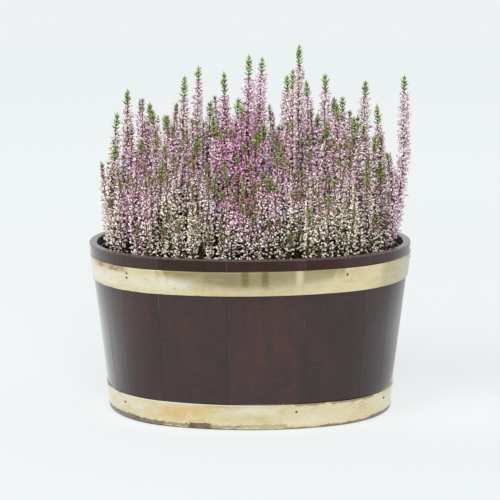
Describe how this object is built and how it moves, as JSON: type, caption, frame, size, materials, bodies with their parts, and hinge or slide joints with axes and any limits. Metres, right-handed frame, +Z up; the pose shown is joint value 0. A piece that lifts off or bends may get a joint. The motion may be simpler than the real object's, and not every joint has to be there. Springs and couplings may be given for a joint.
{
  "type": "jardiniere",
  "caption": "Oval coopered wooden jardiniere with brass hoops, a lift-out metal liner and lift-out potted heather.",
  "frame": {"origin": "centre of the tub's foot, on the floor", "axes": "+X along the long axis to the right seen from the front, +Y along the short axis to the back, +Z up"},
  "size_m": [0.4001, 0.2977, 0.4403],
  "materials": {
    "stave_wood_dark": "satin",
    "stave_wood_red": "satin",
    "base_wood": "matte",
    "hoop_brass": "satin",
    "fixing_brass": "satin",
    "pin_brass": "satin",
    "liner_metal": "matte",
    "pot_plastic": "matte",
    "compost": "matte",
    "heather": "matte"
  },
  "bodies": {
    "tub": {"stave_01": "stave_wood_dark", "stave_02": "stave_wood_red", "stave_03": "stave_wood_dark", "stave_04": "stave_wood_red", "stave_05": "stave_wood_dark", "stave_06": "stave_wood_red", "stave_07": "stave_wood_dark", "stave_08": "stave_wood_red", "stave_09": "stave_wood_dark", "stave_10": "stave_wood_red", "stave_11": "stave_wood_dark", "stave_12": "stave_wood_red", "stave_13": "stave_wood_dark", "stave_14": "stave_wood_red", "stave_15": "stave_wood_dark", "stave_16": "stave_wood_red", "stave_17": "stave_wood_dark", "stave_18": "stave_wood_red", "stave_19": "stave_wood_dark", "stave_20": "stave_wood_red", "base_board_front": "base_wood", "base_board_middle": "base_wood", "base_board_back": "base_wood", "hoop_upper": "hoop_brass", "hoop_lower": "hoop_brass", "hoop_rivets_upper": "fixing_brass", "hoop_rivets_lower": "fixing_brass", "hoop_pins_upper": "pin_brass", "hoop_pins_lower": "pin_brass"},
    "liner": {"liner_wall": "liner_metal", "liner_floor": "liner_metal"},
    "plant_left": {"pot_left": "pot_plastic", "compost_left": "compost", "heather_left": "heather"},
    "plant_centre": {"pot_centre": "pot_plastic", "compost_centre": "compost", "heather_centre": "heather"},
    "plant_right": {"pot_right": "pot_plastic", "compost_right": "compost", "heather_right": "heather"}
  },
  "joints": [
    {"name": "liner_lift", "type": "slide", "parent": "tub", "child": "liner", "axis": [0, 0, 1], "range_m": [0, 0.22]},
    {"name": "pot_left_lift", "type": "slide", "parent": "liner", "child": "plant_left", "axis": [0, 0, 1], "range_m": [0, 0.22]},
    {"name": "pot_centre_lift", "type": "slide", "parent": "liner", "child": "plant_centre", "axis": [0, 0, 1], "range_m": [0, 0.22]},
    {"name": "pot_right_lift", "type": "slide", "parent": "liner", "child": "plant_right", "axis": [0, 0, 1], "range_m": [0, 0.22]}
  ]
}
